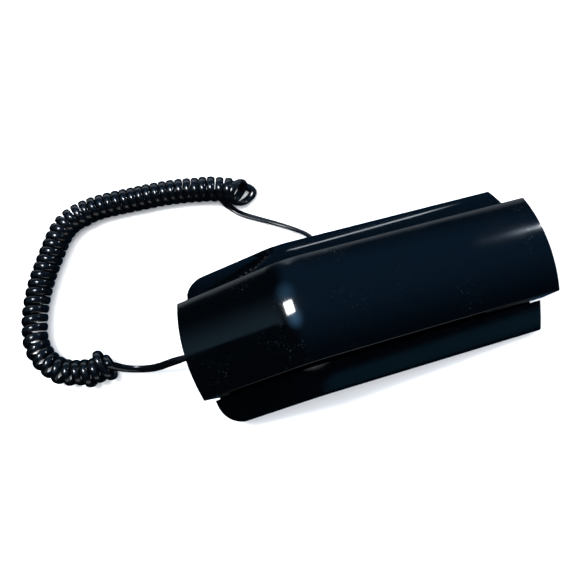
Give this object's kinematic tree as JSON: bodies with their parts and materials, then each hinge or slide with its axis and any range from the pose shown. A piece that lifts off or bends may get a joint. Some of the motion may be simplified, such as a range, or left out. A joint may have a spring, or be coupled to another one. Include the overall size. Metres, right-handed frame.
{
  "type": "slimline wall telephone",
  "caption": "Slimline corded telephone lying on its wall face: a bent arched handset in a winged cradle base, joined to it by a curly cord.",
  "frame": {"origin": "middle of the footprint of base and handset, on the wall face that the phone lies on", "axes": "+X along the phone to the ear end, +Z away from the wall, +Y to the side that the base's cord socket is on"},
  "size_m": [0.3159, 0.1662, 0.0721],
  "materials": {
    "shell": "high gloss black moulded plastic",
    "key": "satin black moulded plastic",
    "cord": "semi-gloss black flexible plastic",
    "plug": "clear moulded plastic",
    "socket": "matt black moulded plastic",
    "board": "green circuit board",
    "rubber": "soft black rubber",
    "steel": "zinc plated steel"
  },
  "bodies": {
    "base": {"base_upper_housing": "shell", "base_lower_housing": "shell", "base_feet": "rubber", "base_screws": "steel", "base_board": "board", "board_screws": "steel", "hook_switch": "socket", "hook_spring": "steel", "ringer_sounder": "socket", "base_weight": "steel", "ringer_switch": "socket", "dial_mode_switch": "socket", "base_cord_jack": "socket", "base_cord_plug": "plug", "line_jack": "socket", "cord_tail_base": "cord", "cord_coil": "cord"},
    "handset": {"handset_back_shell": "shell", "handset_front_shell": "shell", "handset_screws": "steel", "key_mat": "rubber", "keypad_board": "board", "receiver_gasket": "rubber", "receiver_capsule": "socket", "microphone_boot": "rubber", "microphone_capsule": "steel", "handset_weight": "steel", "handset_jack": "socket", "handset_cord_plug": "plug", "cord_tail_handset": "cord"},
    "hook_plunger": {"hook_plunger": "key"},
    "ringer_slider": {"ringer_slider": "key"},
    "dial_mode_slider": {"dial_mode_slider": "key"},
    "key_1": {"key_1": "key"},
    "key_2": {"key_2": "key"},
    "key_3": {"key_3": "key"},
    "key_4": {"key_4": "key"},
    "key_5": {"key_5": "key"},
    "key_6": {"key_6": "key"},
    "key_7": {"key_7": "key"},
    "key_8": {"key_8": "key"},
    "key_9": {"key_9": "key"},
    "key_star": {"key_star": "key"},
    "key_0": {"key_0": "key"},
    "key_hash": {"key_hash": "key"},
    "flash_key": {"flash_key": "key"},
    "redial_key": {"redial_key": "key"}
  },
  "joints": [
    {"name": "handset_lift", "type": "slide", "parent": "base", "child": "handset", "axis": [0, 0, 1], "range_m": [0, 0.08]},
    {"name": "hook_travel", "type": "slide", "parent": "base", "child": "hook_plunger", "axis": [0, 0, 1], "range_m": [0, 0.004], "deforming": ["hook_spring"]},
    {"name": "ringer_slide", "type": "slide", "parent": "base", "child": "ringer_slider", "axis": [1, 0, 0], "range_m": [-0.0025, 0.0025]},
    {"name": "dial_mode_slide", "type": "slide", "parent": "base", "child": "dial_mode_slider", "axis": [1, 0, 0], "range_m": [-0.0025, 0.0025]},
    {"name": "key_1_press", "type": "slide", "parent": "handset", "child": "key_1", "axis": [0.2113, 0, 0.9774], "range_m": [0, 0.0012], "stiffness_N_per_m": 400},
    {"name": "key_2_press", "type": "slide", "parent": "handset", "child": "key_2", "axis": [0.2113, 0, 0.9774], "range_m": [0, 0.0012], "stiffness_N_per_m": 400},
    {"name": "key_3_press", "type": "slide", "parent": "handset", "child": "key_3", "axis": [0.2113, 0, 0.9774], "range_m": [0, 0.0012], "stiffness_N_per_m": 400},
    {"name": "key_4_press", "type": "slide", "parent": "handset", "child": "key_4", "axis": [0.2113, 0, 0.9774], "range_m": [0, 0.0012], "stiffness_N_per_m": 400},
    {"name": "key_5_press", "type": "slide", "parent": "handset", "child": "key_5", "axis": [0.2113, 0, 0.9774], "range_m": [0, 0.0012], "stiffness_N_per_m": 400},
    {"name": "key_6_press", "type": "slide", "parent": "handset", "child": "key_6", "axis": [0.2113, 0, 0.9774], "range_m": [0, 0.0012], "stiffness_N_per_m": 400},
    {"name": "key_7_press", "type": "slide", "parent": "handset", "child": "key_7", "axis": [0.2113, 0, 0.9774], "range_m": [0, 0.0012], "stiffness_N_per_m": 400},
    {"name": "key_8_press", "type": "slide", "parent": "handset", "child": "key_8", "axis": [0.2113, 0, 0.9774], "range_m": [0, 0.0012], "stiffness_N_per_m": 400},
    {"name": "key_9_press", "type": "slide", "parent": "handset", "child": "key_9", "axis": [0.2113, 0, 0.9774], "range_m": [0, 0.0012], "stiffness_N_per_m": 400},
    {"name": "key_star_press", "type": "slide", "parent": "handset", "child": "key_star", "axis": [0.2113, 0, 0.9774], "range_m": [0, 0.0012], "stiffness_N_per_m": 400},
    {"name": "key_0_press", "type": "slide", "parent": "handset", "child": "key_0", "axis": [0.2113, 0, 0.9774], "range_m": [0, 0.0012], "stiffness_N_per_m": 400},
    {"name": "key_hash_press", "type": "slide", "parent": "handset", "child": "key_hash", "axis": [0.2113, 0, 0.9774], "range_m": [0, 0.0012], "stiffness_N_per_m": 400},
    {"name": "flash_press", "type": "slide", "parent": "handset", "child": "flash_key", "axis": [0.2113, 0, 0.9774], "range_m": [0, 0.0012], "stiffness_N_per_m": 400},
    {"name": "redial_press", "type": "slide", "parent": "handset", "child": "redial_key", "axis": [0.2113, 0, 0.9774], "range_m": [0, 0.0012], "stiffness_N_per_m": 400}
  ],
  "couplings": [
    {"joint": "hook_travel", "follows": "handset_lift", "ratio": 0.05}
  ]
}
